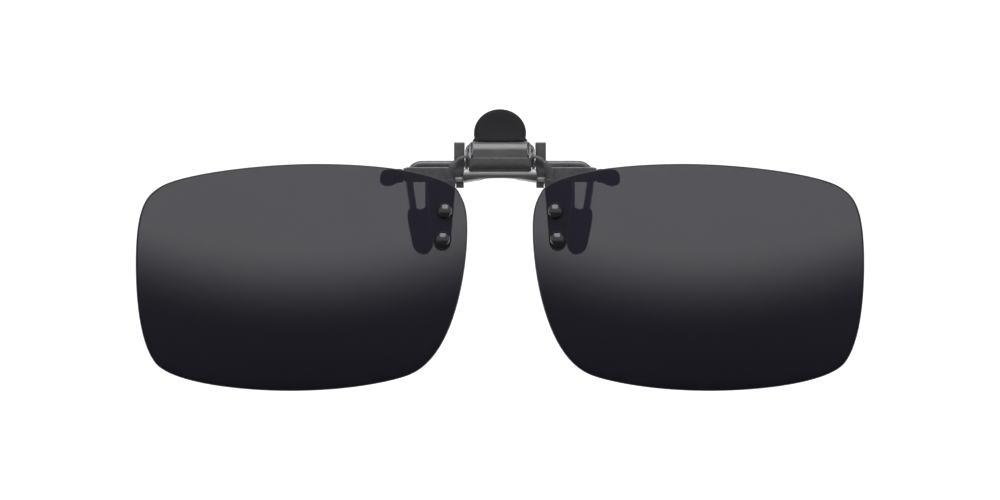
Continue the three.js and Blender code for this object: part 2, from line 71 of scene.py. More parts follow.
# ---------- driving dimensions ----------
PIN_RADIUS, PIN_HALF, PIN_CHAMFER = 0.6, 6.2, 0.12
BORE = 0.66
ROLL = {"corner": (0.58, 0.88), "radius": 1.42, "half": 4.85, "from": 50, "thick": 0.4}
CHEEK = {"radius": 1.42, "from": 4.35, "to": 4.85}
FLANGE = {"from": 3.4, "deepest": 6.4, "to": 6.55, "drop": 0.47}  # where the apron's lower edge dips
SPRING = {"radius": 1.35, "wire": 0.24, "turns": 8.25, "half": 3.9, "leg": 1.7, "tail": 1.5}
WASHER = {"from": 4.88, "to": 5.02, "radius": 1.6}
BRIDGE = {
    "y": -3.0, "thick": 0.58, "ear_x": 5.35, "ear_thick": 0.44, "top": -0.36, "bottom": -2.5,
    "thins_from": 4.6, "thins_to": 5.8,
}
BRIDGE_CURL = {"from": -1.2, "back": 0.28}  # the plate's lower edge curls back
BRIDGE_EAR = 2.05
STRIP = {"x": 5.58, "z": -3.4, "outer": (3.92, 3.55), "inner": (2.67, 3.05), "bottom": -5.7}
STRIP_TILT = {"thick": 0.9, "back": 0.25, "square_from": -0.8, "square_to": -4.4}
STRIP_BEAD = {"from": 0.05, "to": 0.4, "step": 0.32}  # the front steps back, out from the inner edge
STRIP_FRONT, STRIP_BACK = -2.95, -1.25
SHEET_FRONT, SHEET_BACK = 0.25, 0.85
# the stop tab is pressed back under the arch
TAB_RECESS = {"top": -0.5, "low": -3.8, "bottom": -4.6, "outer": 8.6, "inner": 8.2, "depth": 1.1}
SLEEVE_FRONT, SLEEVE_BACK, SLOT_FIT = -0.35, 1.6, 0.08
LEVER = {"y": 2.95, "thick": 0.5, "ear_x": 5.96, "bottom": -0.85, "foot": 2.45, "lean": 20}
TAB = {"half": 3.8, "height": 5.1}
THUMB = {"half": 4.68, "rise": 4.55, "centre": 1.72, "thick": 2.2, "bottom": 2.7}
THUMB_DISH = 0.22  # depth of the hollow in front; behind it is half as deep
THUMB_FOOT = {"half": 4.92, "waist": 4.5, "waist_height": 0.85, "height": 0.3, "from": -0.6}
WIRE_RADIUS, CHANNEL_FIT = 0.65, 0.07
PAD_FRONT, PAD_BACK = 2.2, 4.25
FOLD = 0.5  # radius of a sheet's fold, to the middle of its thickness

LENS = {"x": 35.5, "y": -4.9, "z": -21.6, "wrap": 0.07, "sphere": 140.0, "thick": 1.05}
LENS_START = (32.8, -1.46)
LENS_CURVES = (  # each runs from the last one's end: two handles and its own end, seen from the front
    (43.2, -1.46, 57.5, -3.3, 60.9, -5.6),
    (63.4, -7.2, 65.1, -9.1, 65.1, -19),
    (65.1, -27, 64.1, -34, 61.5, -37.05),
    (58.4, -40.5, 46.2, -41.8, 37.5, -41.8),
    (26.3, -41.8, 18.4, -39.9, 16.1, -38.9),
    (8.2, -35.6, 6, -20.6, 6, -13.3),
    (6, -9.3, 6.6, -8.2, 7.5, -6.5),
    (8.9, -3.6, 18.6, -1.46, 32.8, -1.46),
)
RIVETS_AT = (10.25, -12.4)
RIVET_OFFSET = {"upper": (-0.2, 2.52), "lower": (0.2, -2.52)}
RIVET = {"head": 1.35, "dome": 1.15, "from": -1.29, "shank": 0.6, "tail": 0.95, "tail_from": 0.96}
RIVET_TAIL_HEIGHT = 0.4
RIVET_WASHER = {"from": -1.27, "to": -1.09, "radius": 1.5}
BUSHING = {"sleeve": 0.94, "flange": 1.45, "front": -1.05, "flange_from": 0.14, "flange_to": 0.3}
PLATE = {"from": 0.33, "to": 0.93, "hole": 0.72, "end": (0.15, -3.0, 1.5)}
LENS_HOLE = 1.0

TOLERANCE = 1e-4  # of an inset's distance, for rounding
GRID_CLEARANCE = 0.55  # of the spacing, between a blank's inner points and its rim


def place(x, y, z):
    """A point of the design frame, in the row frame's metres."""
    return Vector((x, y, z)) * MM + PIN


def portion(value, start, end):
    """How far the value is on its way from start to end, from 0 to 1."""
    return min(1.0, max(0.0, (value - start) / (end - start)))


# ---------- lines and outlines ----------
def arc(x, y, radius, start, end, steps):
    """Points on an arc, in degrees; radius is one number or (across, up)."""
    across, up = radius if isinstance(radius, tuple) else (radius, radius)
    angles = [math.radians(start + (end - start) * i / steps) for i in range(steps + 1)]
    return [(x + across * math.cos(a), y + up * math.sin(a)) for a in angles]


def circle(radius, steps=48, x=0, y=0):
    return arc(x, y, radius, 0, 360, steps)[:-1]


def rounded(corners, radius, steps=5):
    """A polygon whose corners are rounded; a corner may give its own radius as a third number."""
    line = []
    for i, corner in enumerate(corners):
        here = Vector(corner[:2])
        before = Vector(corners[i - 1][:2]) - here
        after = Vector(corners[(i + 1) % len(corners)][:2]) - here
        wanted = corner[2] if len(corner) > 2 else radius
        reach = min(wanted, before.length * 0.45, after.length * 0.45)
        a, b = here + before.normalized() * reach, here + after.normalized() * reach
        for k in range(steps + 1):
            t = k / steps
            line.append(tuple(a * (1 - t) ** 2 + here * 2 * t * (1 - t) + b * t**2))
    return line


def both_halves(half):
    """A symmetric outline from its +X half, given from bottom to top."""
    return list(half) + [(-c[0], *c[1:]) for c in reversed(half)]


def spline(points, steps, closed=False):
    """A centripetal Catmull-Rom line through 2-D or 3-D points."""
    points = [Vector(p) for p in points]
    n = len(points)
    if closed:
        control = [points[-1], *points, points[0], points[1]]
    else:
        control = [points[0] * 2 - points[1], *points, points[-1] * 2 - points[-2]]
    line = []
    for i in range(n if closed else n - 1):
        p = control[i : i + 4]
        knots = [0.0]
        for a, b in zip(p, p[1:]):
            knots.append(knots[-1] + math.sqrt((b - a).length))
        for k in range(steps):
            t = knots[1] + (knots[2] - knots[1]) * k / steps
            line.append(catmull_rom(p, knots, t))
    if not closed:
        line.append(points[-1])
    return line


def catmull_rom(p, knots, t):
    """One point of the line between the middle two of four points, mixed from neighbours three times."""

    def weighed(a, b, start, end):
        return (a * (knots[end] - t) + b * (t - knots[start])) / (knots[end] - knots[start])

    first = [weighed(p[i], p[i + 1], i, i + 1) for i in range(3)]
    second = [weighed(first[i], first[i + 1], i, i + 2) for i in range(2)]
    return weighed(*second, 1, 2)


def bezier(start, curves, steps):
    """Points along joined cubic curves, without the last, which is the first again."""
    line, here = [], Vector(start)
    for x1, y1, x2, y2, x3, y3 in curves:
        a, b, end = Vector((x1, y1)), Vector((x2, y2)), Vector((x3, y3))
        for k in range(steps):
            t = k / steps
            s = 1 - t
            line.append(tuple(here * s**3 + a * 3 * s * s * t + b * 3 * s * t * t + end * t**3))
        here = end
    return line


class Bend:
    """A line in a plane, followed by its length. A sheet is bent along it."""

    def __init__(self, points):
        self.points = [Vector(p) for p in points]
        steps = [(b - a).length for a, b in zip(self.points, self.points[1:])]
        self.reached = [0.0, *np.cumsum(steps)]
        ways = [(b - a).normalized() for a, b in zip(self.points, self.points[1:])]
        mean = [(a + b).normalized() for a, b in zip(ways, ways[1:])]
        self.ways = [ways[0], *mean, ways[-1]]
        self.length = self.reached[-1]

    def at(self, distance, off):
        """The point that far along, moved off to the left of the line, which runs straight on past its
        ends."""
        i = int(np.searchsorted(self.reached, distance)) - 1
        i = max(0, min(i, len(self.points) - 2))
        share = (distance - self.reached[i]) / (self.reached[i + 1] - self.reached[i])
        point = self.points[i].lerp(self.points[i + 1], share)
        way = self.ways[i].lerp(self.ways[i + 1], portion(share, 0, 1)).normalized()
        return point + Vector((-way.y, way.x)) * off

    def where(self, height, after=0.0):
        """How far along the line first comes down to that height, past a distance."""
        for reached, point in zip(self.reached, self.points):
            if reached > after and point.y <= height:
                return reached
        return self.length


# ---------- solids: lists of points and faces ----------
def turned(loop, left):
    """The loop, running so that the material is on its left."""
    area = sum(a[0] * b[1] - b[0] * a[1] for a, b in zip(loop, loop[1:] + loop[:1]))
    return list(loop) if (area > 0) == left else list(reversed(loop))


def divided(loop, spacing):
    """The loop with its long sides divided, and points that coincide dropped."""
    line = []
    for a, b in zip(loop, loop[1:] + loop[:1]):
        a, b = Vector(a[:2]), Vector(b[:2])
        parts = max(1, math.ceil((b - a).length / spacing))
        if (b - a).length > 1e-6:
            line += [tuple(a.lerp(b, k / parts)) for k in range(parts)]
    return line


def nearness(points, loop):
    """How far each of the points is from the closed loop."""
    points, start = np.array(points)[:, None], np.array(loop)[None]
    way = np.roll(start, -1, 1) - start
    share = np.clip(((points - start) * way).sum(2) / (way**2).sum(2), 0, 1)
    return np.linalg.norm(points - start - way * share[..., None], axis=2).min(1)


def inset(loop, distance):
    """The closed loop moved to its left, into the material. Where a corner is too tight for that, its
    points are spread between the nearest ones that fit."""
    moved = []
    for i, corner in enumerate(loop):
        here = Vector(corner)
        first = (here - Vector(loop[i - 1])).normalized()
        second = (Vector(loop[(i + 1) % len(loop)]) - here).normalized()
        normal = Vector((-first.y - second.y, first.x + second.x))
        normal = normal.normalized() if normal.length > 1e-9 else Vector((-first.y, first.x))
        cosine = max(0.5, normal.dot(Vector((-first.y, first.x))))
        moved.append(here + normal * (distance / cosine))
    fits = nearness(moved, loop) > distance * (1 - TOLERANCE)
    good = [i for i in range(len(loop)) if fits[i]]
    for i, after in zip(good, good[1:] + [good[0] + len(loop)]):
        for k in range(i + 1, after):
            share = (k - i) / (after - i)
            moved[k % len(loop)] = moved[i].lerp(moved[after % len(loop)], share)
    return [tuple(p) for p in moved]


def within(points, loops):
    """Which of the points lie inside an odd number of the loops."""
    odd = np.zeros(len(points), bool)
    x, y = points[:, 0], points[:, 1]
    for loop in loops:
        for (ax, ay), (bx, by) in zip(loop, loop[1:] + loop[:1]):
            if ay != by:
                crosses = (ay > y) != (by > y)
                odd ^= crosses & (x < (bx - ax) * (y - ay) / (by - ay) + ax)
    return odd


def filled(loops, spacing):
    """Triangles between the loops: the inner points, and triples of numbers counting loops' points first."""
    rim = [p for loop in loops for p in loop]
    low, high = np.min(rim, 0), np.max(rim, 0)
    across = np.arange(low[0] + spacing / 2, high[0], spacing)
    up = np.arange(low[1] + spacing / 2, high[1], spacing)
    grid = np.array([(x, y) for x in across for y in up]).reshape(-1, 2)
    grid = grid[within(grid, loops)] if len(grid) else grid
    if len(grid):
        gap = np.min(np.linalg.norm(grid[:, None] - np.array(rim)[None], axis=2), axis=1)
        grid = grid[gap > spacing * GRID_CLEARANCE]
    inner = [tuple(p) for p in grid]
    edges, start = [], 0
    for loop in loops:
        edges += [(start + i, start + (i + 1) % len(loop)) for i in range(len(loop))]
        start += len(loop)
    corners = [Vector(p) for p in rim + inner]
    found = delaunay_2d_cdt(corners, edges, [], 0, 1e-7)
    if len(found[0]) != len(corners):
        raise ValueError("an outline crosses itself")
    faces = [tuple(f) for f in found[2]]
    middles = np.array([np.mean([corners[i] for i in f], 0) for f in faces])
    return inner, [f for f, keep in zip(faces, within(middles, loops)) if keep]


def blank(outline, thick, edge, spacing, holes=(), edge_steps=4):
    """A flat piece with rounded edges, as points (u, v, w) with w across its thickness, its two broad
    faces' triangles and its edges' quads."""
    loops = [turned(divided(outline, spacing), True)]
    loops += [turned(divided(hole, spacing), False) for hole in holes]
    half = thick / 2
    turns = [math.radians(90 * k / edge_steps) for k in range(edge_steps + 1)]
    upper = [(edge * (1 - math.sin(a)), half - edge * (1 - math.cos(a))) for a in turns]
    levels = upper + [(d, -w) for d, w in reversed(upper)]
    broad = [inset(loop, edge) for loop in loops]
    inner, triangles = filled(broad, spacing)
    points, rings = [], []
    for depth, w in levels:
        ring = []
        for loop in loops:
            ring.append(range(len(points), len(points) + len(loop)))
            points += [(u, v, w) for u, v in (inset(loop, depth) if depth > 0 else loop)]
        rings.append(ring)
    sides = []
    for first, second in zip(rings, rings[1:]):
        for a, b in zip(first, second):
            sides += [(a[i - 1], a[i], b[i], b[i - 1]) for i in range(len(a))]
    caps = []
    for ring, w, flip in ((rings[0], half, False), (rings[-1], -half, True)):
        numbers = [i for loop in ring for i in loop]
        numbers += range(len(points), len(points) + len(inner))
        points += [(u, v, w) for u, v in inner]
        for face in triangles:
            caps.append(tuple(numbers[i] for i in (reversed(face) if flip else face)))
    return points, caps, sides


def tube(line, radius, sides, end_steps=4):
    """A round bar along a 3-D line, with rounded ends: points and faces."""
    line = [Vector(p) for p in line]
    ways = [(b - a).normalized() for a, b in zip(line, line[1:])]
    ways = [ways[0], *[(a + b).normalized() for a, b in zip(ways, ways[1:])], ways[-1]]
    side = ways[0].orthogonal().normalized()
    rings = []
    for point, way in zip(line, ways):
        side = (side - way * side.dot(way)).normalized()
        rings.append((point, way, side, radius))
    swell = [math.radians(90 * k / end_steps) for k in range(1, end_steps)]
    point, way, side, _ = rings[0]
    start = [(point - way * radius * math.cos(a), way, side, radius * math.sin(a)) for a in swell]
    point, way, side, _ = rings[-1]
    end = [(point + way * radius * math.cos(a), way, side, radius * math.sin(a)) for a in reversed(swell)]
    rings = start + rings + end
    points = []
    for point, way, side, size in rings:
        up = way.cross(side)
        for k in range(sides):
            a = 2 * math.pi * k / sides
            points.append(point + (side * math.cos(a) + up * math.sin(a)) * size)
    faces = []
    for r in range(len(rings) - 1):
        for k in range(sides):
            a, b = r * sides + k, r * sides + (k + 1) % sides
            faces.append((a, b, b + sides, a + sides))
    tips = [line[0] - ways[0] * radius, line[-1] + ways[-1] * radius]
    for tip, first in zip(tips, (0, (len(rings) - 1) * sides)):
        points.append(tip)
        faces += [(len(points) - 1, first + (k + 1) % sides, first + k) for k in range(sides)]
    return points, faces


def lathe(profile, sides=48):
    """A profile of (radius, along) turned round the Y axis; it closes on itself or ends on the axis."""
    open_ended = profile[0][0] == 0
    rows = profile if open_ended else profile + profile[:1]
    points, numbers = [], []
    for radius, along in (rows if open_ended else profile):
        if radius == 0:
            numbers.append([len(points)] * sides)
            points.append((0, along, 0))
            continue
        numbers.append(list(range(len(points), len(points) + sides)))
        for k in range(sides):
            a = 2 * math.pi * k / sides
            points.append((radius * math.cos(a), along, radius * math.sin(a)))
    if not open_ended:
        numbers.append(numbers[0])
    faces = []
    for first, second in zip(numbers, numbers[1:]):
        for k in range(sides):
            face = (first[k - 1], first[k], second[k], second[k - 1])
            faces.append(tuple(dict.fromkeys(face)))
    return points, faces


class Shape:
    """Points of the design frame and faces with their material's number, gathered into one mesh."""

    def __init__(self):
        self.points, self.faces, self.finish = [], [], []

    def add(self, points, faces, finish=0):
        start = len(self.points)
        self.points += [place(*p) for p in points]
        self.faces += [tuple(start + i for i in f) for f in faces]
        self.finish += [finish] * len(faces)
        return self

    def add_blank(self, made, bend, edge_finish=0):
        """Adds a blank whose points (u, v, w) go where bend(u, v, w) says."""
        points, caps, sides = made
        self.add([bend(*p) for p in points], caps + sides)
        count = len(sides)
        self.finish[-count:] = [edge_finish] * count
        return self

    def object(self, name, sharp=38):
        mesh = bpy.data.meshes.new(name)
        shape = bmesh.new()
        corners = [shape.verts.new(p) for p in self.points]
        for face, finish in zip(self.faces, self.finish):
            shape.faces.new([corners[i] for i in face]).material_index = finish
        bmesh.ops.recalc_face_normals(shape, faces=shape.faces)
        shape.to_mesh(mesh)
        shape.free()
        smooth(mesh, sharp)
        thing = bpy.data.objects.new(name, mesh)
        bpy.context.scene.collection.objects.link(thing)
        return thing


def smooth(mesh, sharp):
    mesh.polygons.foreach_set("use_smooth", [True] * len(mesh.polygons))
    mesh.set_sharp_from_angle(angle=math.radians(sharp))


def combine(target, tool, operation, sharp=38):
    """Joins the tool to the target or cuts it away, and removes the tool."""
    change = target.modifiers.new(operation, "BOOLEAN")
    change.operation = operation
    change.solver = "EXACT"
    change.object = tool
    bpy.context.view_layer.update()
    seen = target.evaluated_get(bpy.context.evaluated_depsgraph_get())
    mesh = bpy.data.meshes.new_from_object(seen)
    target.modifiers.clear()
    target.data = mesh
    smooth(mesh, sharp)
    bpy.data.objects.remove(tool)
    return target


def stand_for(thing, node, slot, *finishes):
    """The piece replaces its CAD node, rides on the same body and gets its materials."""
    for finish in finishes:
        thing.data.materials.append(finish)
    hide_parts(node)
    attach(thing, frame["nodes"][node]["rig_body"])
    return thing


# ---------- materials ----------
def new_material(name):
    """A material whose Principled shader and object coordinates are returned with its nodes and links."""
    material = bpy.data.materials.new(name)
    material.use_nodes = True
    nodes, links = material.node_tree.nodes, material.node_tree.links
    shader = nodes["Principled BSDF"]
    where = nodes.new("ShaderNodeTexCoord").outputs["Object"]
    return material, shader, where, nodes, links


def noise(nodes, links, where, per_mm, detail, stretch=(1, 1, 1)):
    """A noise that repeats about per_mm times in a millimetre, drawn out by stretch."""
    shift = nodes.new("ShaderNodeMapping")
    shift.inputs["Scale"].default_value = [per_mm / MM * s for s in stretch]
    links.new(where, shift.inputs["Vector"])
    texture = nodes.new("ShaderNodeTexNoise")
    texture.inputs["Scale"].default_value = 1.0
    texture.inputs["Detail"].default_value = detail
    links.new(shift.outputs["Vector"], texture.inputs["Vector"])
    return texture.outputs["Fac"]


def feed(links, socket, value):
    """Gives a socket another one's value, or a number or colour of its own."""
    if isinstance(value, bpy.types.NodeSocket):
        links.new(value, socket)
    else:
        socket.default_value = value


def ranged(nodes, links, value, start, end, low=0.0, high=1.0, smooth=True):
    """Goes from low to high while the value goes from start to end."""
    node = nodes.new("ShaderNodeMapRange")
    if smooth:
        node.interpolation_type = "SMOOTHSTEP"
    names = ("Value", "From Min", "From Max", "To Min", "To Max")
    for name, given in zip(names, (value, start, end, low, high)):
        feed(links, node.inputs[name], given)
    return node.outputs["Result"]


def mixed(nodes, links, share, first, second, kind="RGBA"):
    """A colour or a number that goes from the first to the second as the share goes from 0 to 1."""
    node = nodes.new("ShaderNodeMix")
    node.data_type = kind
    for name, given in (("Factor", share), ("A", first), ("B", second)):
        feed(links, node.inputs[name], given)
    return node.outputs["Result"]


def spread(nodes, links, value, low, high):
    """The middle of a noise's values, spread from low to high."""
    return ranged(nodes, links, value, 0.3, 0.7, low, high, smooth=False)


def between(nodes, links, value, dark, light):
    """A colour from dark to light, as a noise goes."""
    ramp = nodes.new("ShaderNodeValToRGB")
    ramp.color_ramp.elements[0].position = 0.32
    ramp.color_ramp.elements[1].position = 0.68
    ramp.color_ramp.elements[0].color = (*dark, 1)
    ramp.color_ramp.elements[1].color = (*light, 1)
    links.new(value, ramp.inputs["Fac"])
    return ramp.outputs["Color"]


def bumped(nodes, links, shader, value, height_mm):
    """Raises the surface by up to height_mm as the value goes."""
    bump = nodes.new("ShaderNodeBump")
    bump.inputs["Strength"].default_value = 1.0
    bump.inputs["Distance"].default_value = height_mm * MM
    links.new(value, bump.inputs["Height"])
    links.new(bump.outputs["Normal"], shader.inputs["Normal"])


def with_painted_highlight(nodes, links, where, plating):
    """The plating's colour, with a painted highlight in a pale band across the apron, where light falls below
    the bridge plate.
    """
    height = nodes.new("ShaderNodeSeparateXYZ")
    links.new(where, height.inputs["Vector"])
    band = nodes.new("ShaderNodeMath")
    band.operation = "MULTIPLY"
    for socket, (plated, painted_highlight) in zip(band.inputs, APRON_PAINTED_HIGHLIGHT["edges"]):
        links.new(ranged(nodes, links, height.outputs["Z"], plated * MM, painted_highlight * MM), socket)
    return mixed(nodes, links, band.outputs["Value"], plating, (*APRON_PAINTED_HIGHLIGHT["colour"], 1))


def metal(name, dark, light, rough, grain_mm=0.004, stretch=(1, 1, 1), painted_highlight=False):
    """Satin plated metal: mottled tone, fine grain and uneven polish."""
    material, shader, where, nodes, links = new_material(name)
    shader.inputs["Metallic"].default_value = 1.0
    mottle = noise(nodes, links, where, 1.6, 5.0, stretch)
    grain = noise(nodes, links, where, 9.0, 2.0, stretch)
    tone = between(nodes, links, mottle, dark, light)
    # paints a pale highlight band across the apron
    if painted_highlight:
        tone = with_painted_highlight(nodes, links, where, tone)
    links.new(tone, shader.inputs["Base Color"])
    links.new(spread(nodes, links, grain, rough[0], rough[1]), shader.inputs["Roughness"])
    bumped(nodes, links, shader, grain, grain_mm)
    return material


def rubber(name, dark, light, rough, grain_mm):
    """Moulded rubber or nylon: near black, with a fine matt grain."""
    material, shader, where, nodes, links = new_material(name)
    shader.inputs["Specular IOR Level"].default_value = 0.42
    patch = noise(nodes, links, where, 0.5, 3.0)
    grain = noise(nodes, links, where, 7.0, 2.0)
    links.new(between(nodes, links, patch, dark, light), shader.inputs["Base Color"])
    links.new(spread(nodes, links, patch, rough[0], rough[1]), shader.inputs["Roughness"])
    bumped(nodes, links, shader, grain, grain_mm)
    return material


# a painted highlight across the apron: each edge is where plating ends and where the painted highlight begins
APRON_PAINTED_HIGHLIGHT = {"edges": ((-2.4, -2.6), (-4.1, -3.85)), "colour": (0.78, 0.77, 0.79)}
# the lens's smoke tint, painted lighter and clearer towards the top as a painted reflection of the room
LENS_TINT_AND_PAINTED_SHEEN = {"dark": 0.055, "light": 0.255, "middle": -24.0, "half": 8.0, "curve": 0.0055}


def painted_lens_sheen(nodes, links, where):
    """How much a painted reflection lightens and clears each face of the lens, from 0 at the bottom to 1,
    across a line that sags in the middle of each lens."""

    def maths(operation, first, second):
        node = nodes.new("ShaderNodeMath")
        node.operation = operation
        for socket, value in zip(node.inputs, (first, second)):
            feed(links, socket, value)
        return node.outputs["Value"]

    axes = nodes.new("ShaderNodeSeparateXYZ")
    links.new(where, axes.inputs["Vector"])
    outward = maths("SUBTRACT", maths("ABSOLUTE", axes.outputs["X"], 0.0), LENS["x"] * MM)
    squared = maths("POWER", maths("ABSOLUTE", outward, 0.0), 2.0)
    rise = maths("MULTIPLY", squared, LENS_TINT_AND_PAINTED_SHEEN["curve"] / MM)
    above = maths("SUBTRACT", axes.outputs["Z"], rise)
    low, high = LENS_TINT_AND_PAINTED_SHEEN["middle"] - LENS_TINT_AND_PAINTED_SHEEN["half"], LENS_TINT_AND_PAINTED_SHEEN["middle"] + LENS_TINT_AND_PAINTED_SHEEN["half"]
    return ranged(nodes, links, above, low * MM, high * MM)


def smoke_lens(name):
    """Dark blue-grey lens, polished, that lets a little light through; towards its top it is painted lighter
    and clearer, a painted reflection of the room.
    """
    material, shader, where, nodes, links = new_material(name)
    shader.inputs["Roughness"].default_value = 0.03
    shader.inputs["IOR"].default_value = 1.5
    # painted reflection: the lens gets lighter and clearer from its bottom to its top
    clear = painted_lens_sheen(nodes, links, where)
    depth = noise(nodes, links, where, 0.03, 1.0)
    bottom = between(nodes, links, depth, (0.002, 0.002, 0.018), (0.004, 0.003, 0.024))
    # the lighter colour at the top is a painted reflection
    top = between(nodes, links, depth, (0.034, 0.032, 0.062), (0.04, 0.037, 0.07))
    links.new(mixed(nodes, links, clear, bottom, top), shader.inputs["Base Color"])
    bottom_alpha, top_alpha = 1 - LENS_TINT_AND_PAINTED_SHEEN["dark"], 1 - LENS_TINT_AND_PAINTED_SHEEN["light"]
    links.new(ranged(nodes, links, clear, 0, 1, bottom_alpha, top_alpha, smooth=False), shader.inputs["Alpha"])
    return material


def lens_edge(name):
    """The lens's ground edge: satin, a little paler than its faces."""
    material, shader, where, nodes, links = new_material(name)
    grain = noise(nodes, links, where, 6.0, 3.0)
    ground = between(nodes, links, grain, (0.05, 0.047, 0.056), (0.08, 0.076, 0.088))
    links.new(ground, shader.inputs["Base Color"])
    links.new(spread(nodes, links, grain, 0.28, 0.42), shader.inputs["Roughness"])
    bumped(nodes, links, shader, grain, 0.003)
    return material


GUNMETAL = metal("gunmetal_plating", (0.26, 0.26, 0.27), (0.34, 0.34, 0.35), (0.34, 0.46))
# True: a pale band across the apron is painted in as a painted highlight
PALE = metal("pale_plating", (0.3, 0.3, 0.31), (0.38, 0.38, 0.39), (0.3, 0.4), 0.003, (0.25, 1, 1), True)
DARK = metal("dark_plating", (0.15, 0.15, 0.16), (0.2, 0.2, 0.21), (0.26, 0.38))
POLISHED = metal("dark_chrome", (0.2, 0.2, 0.21), (0.24, 0.24, 0.25), (0.1, 0.16), 0.0006)
STEEL = metal("spring_steel", (0.4, 0.4, 0.4), (0.5, 0.5, 0.49), (0.2, 0.3), 0.001)
RUBBER = rubber("black_rubber_skin", (0.012, 0.011, 0.018), (0.02, 0.0185, 0.028), (0.5, 0.62), 0.006)
NYLON = rubber("dark_nylon_skin", (0.02, 0.02, 0.023), (0.03, 0.03, 0.034), (0.36, 0.46), 0.002)
SMOKE = smoke_lens("smoke_lens_face")
GROUND = lens_edge("smoke_lens_edge")


# ---------- front jaw ----------
def flat(y, side):
    """Stands a blank's broad faces across Y, with its middle at that y."""
    return lambda u, v, w: (side * u, y + w, v)


def across_pin(x, side):
    """Stands a blank's broad faces across the pin, with its middle at that x."""
    return lambda u, v, w: (side * (x + w), u, v)


def base_frame():
    """A sheet rolled round the spring, led down behind the bridge plate and bulged into the apron."""
    y, z = ROLL["corner"]
    back = arc(y, z, ROLL["radius"], ROLL["from"], 90, 10)
    front = arc(-y, z, ROLL["radius"], 90, 180, 20)
    face = -y - ROLL["radius"]
    below = [
        (face, -1.3), (-1.95, -2.0), (-2.05, -2.5), (-2.2, -2.95), (-2.25, -3.4), (-1.9, -3.88),
        (-1.15, -4.12), (0.2, -4.15),
    ]
    bend = Bend(back + front + spline([(face, -0.5), *below], 10))
    lower = bend.where(-0.6)
    at = lambda height: bend.where(height, lower)
    half = [
        (2.6, at(-3.92), 0.15),
        (3.1, at(-4.08), 0.12),
        (3.3, bend.length, 0.1),
        (8.1, bend.length, 0.1),
        (8.1, at(-4.02), 0.12),
        (6.75, at(-3.97), 0.15),
        (6.42, at(-2.7), 0.1),
        (6.36, at(-2.35), 0.1),
        (ROLL["half"], at(-2.3), 0.1),
        (ROLL["half"], 0, 0.15),
    ]
    outline = rounded([(0, at(-3.82), 2.0), *both_halves(half)], 0.15)
    shape = Shape()
    made = blank(outline, ROLL["thick"], 0.1, 0.2)
    dip_starts, dip_ends = at(-3.6), at(-4.1)

    def bent(u, v, w):
        across, up = bend.at(v, -w)
        dip = portion(abs(u), FLANGE["from"], FLANGE["deepest"]) if abs(u) <= FLANGE["to"] else 0.0
        turned_under = portion(v, dip_starts, dip_ends)
        return u, across, up - FLANGE["drop"] * dip * turned_under

    shape.add_blank(made, bent)
    middle = (CHEEK["from"] + CHEEK["to"]) / 2
    corners = ((y, z, 0), (-y, z, 90), (-y, -y, 180), (y, -y, 270))
    square = [p for cy, cz, start in corners for p in arc(cy, cz, CHEEK["radius"], start, start + 90, 12)]
    disc = blank(square, CHEEK["to"] - CHEEK["from"], 0.08, 0.5, [circle(BORE, 32)])
    for _, side in SIDES:
        shape.add_blank(disc, across_pin(middle, side))
    return shape.object("fine_base_frame")


def hinge_pin():
    """The pin, peened flush in the lever's ears."""
    end = [(PIN_RADIUS, PIN_HALF - PIN_CHAMFER), (PIN_RADIUS - PIN_CHAMFER, PIN_HALF), (0, PIN_HALF)]
    profile = [(r, -along) for r, along in reversed(end)] + end
    points, faces = lathe(profile)
    return Shape().add([(y, x, z) for x, y, z in points], faces).object("fine_hinge_pin")


def torsion_spring():
    """A leg up to the lever, the coil round the pin, and a leg that rests inside the roll."""
    size, half = SPRING["radius"], SPRING["half"]
    line = [(-half, SPRING["leg"] * (1 - k / 6), size) for k in range(6)]
    steps = round(SPRING["turns"] * 28)
    for k in range(steps + 1):
        angle = math.pi / 2 + 2 * math.pi * SPRING["turns"] * k / steps
        line.append((half * (2 * k / steps - 1), size * math.cos(angle), size * math.sin(angle)))
    line += [(half, -size, -SPRING["tail"] * k / 5) for k in range(1, 6)]
    return Shape().add(*tube(line, SPRING["wire"], 12, 3)).object("fine_torsion_spring")


def friction_washer(name, side):
    made = blank(circle(WASHER["radius"]), WASHER["to"] - WASHER["from"], 0.03, 0.5, [circle(BORE, 32)])
    middle = (WASHER["from"] + WASHER["to"]) / 2
    return Shape().add_blank(made, across_pin(middle, side)).object(f"fine_friction_washer_{name}")


def hook_arm(name, side):
    """A flat stamping: stop tab above, foot below, and the arm that carries the rubber sleeve."""
    outline = rounded([
        (6.3, 2.46), (6.3, -1.5, 0.3), (6.45, -3.5, 0.3), (6.45, -5.7, 0.12), (7.85, -5.7, 0.12),
        (7.85, -4.9, 0.2), (8.3, -4.64, 0.4), (16.9, -4.64, 0.3), (17.25, -4.3, 0.15), (20.6, -4.3, 0.4),
        (20.6, -2.75, 0.5), (17.25, -2.75, 0.1), (17.25, -2.15, 0.15), (16.5, -1.96, 0.3), (8.22, -1.96, 0.2),
        (8.22, 2.46),
    ], 0.14)
    made = blank(outline, SHEET_BACK - SHEET_FRONT, 0.16, 0.3)
    middle = (SHEET_FRONT + SHEET_BACK) / 2

    def pressed(u, v, w):
        top, low, bottom = TAB_RECESS["top"], TAB_RECESS["low"], TAB_RECESS["bottom"]
        down, back = portion(v, top, low), portion(v, bottom, low)
        inside = portion(u, TAB_RECESS["outer"], TAB_RECESS["inner"])
        return side * u, middle + w + TAB_RECESS["depth"] * down * back * inside, v

    return Shape().add_blank(made, pressed).object(f"fine_hook_arm_{name}")


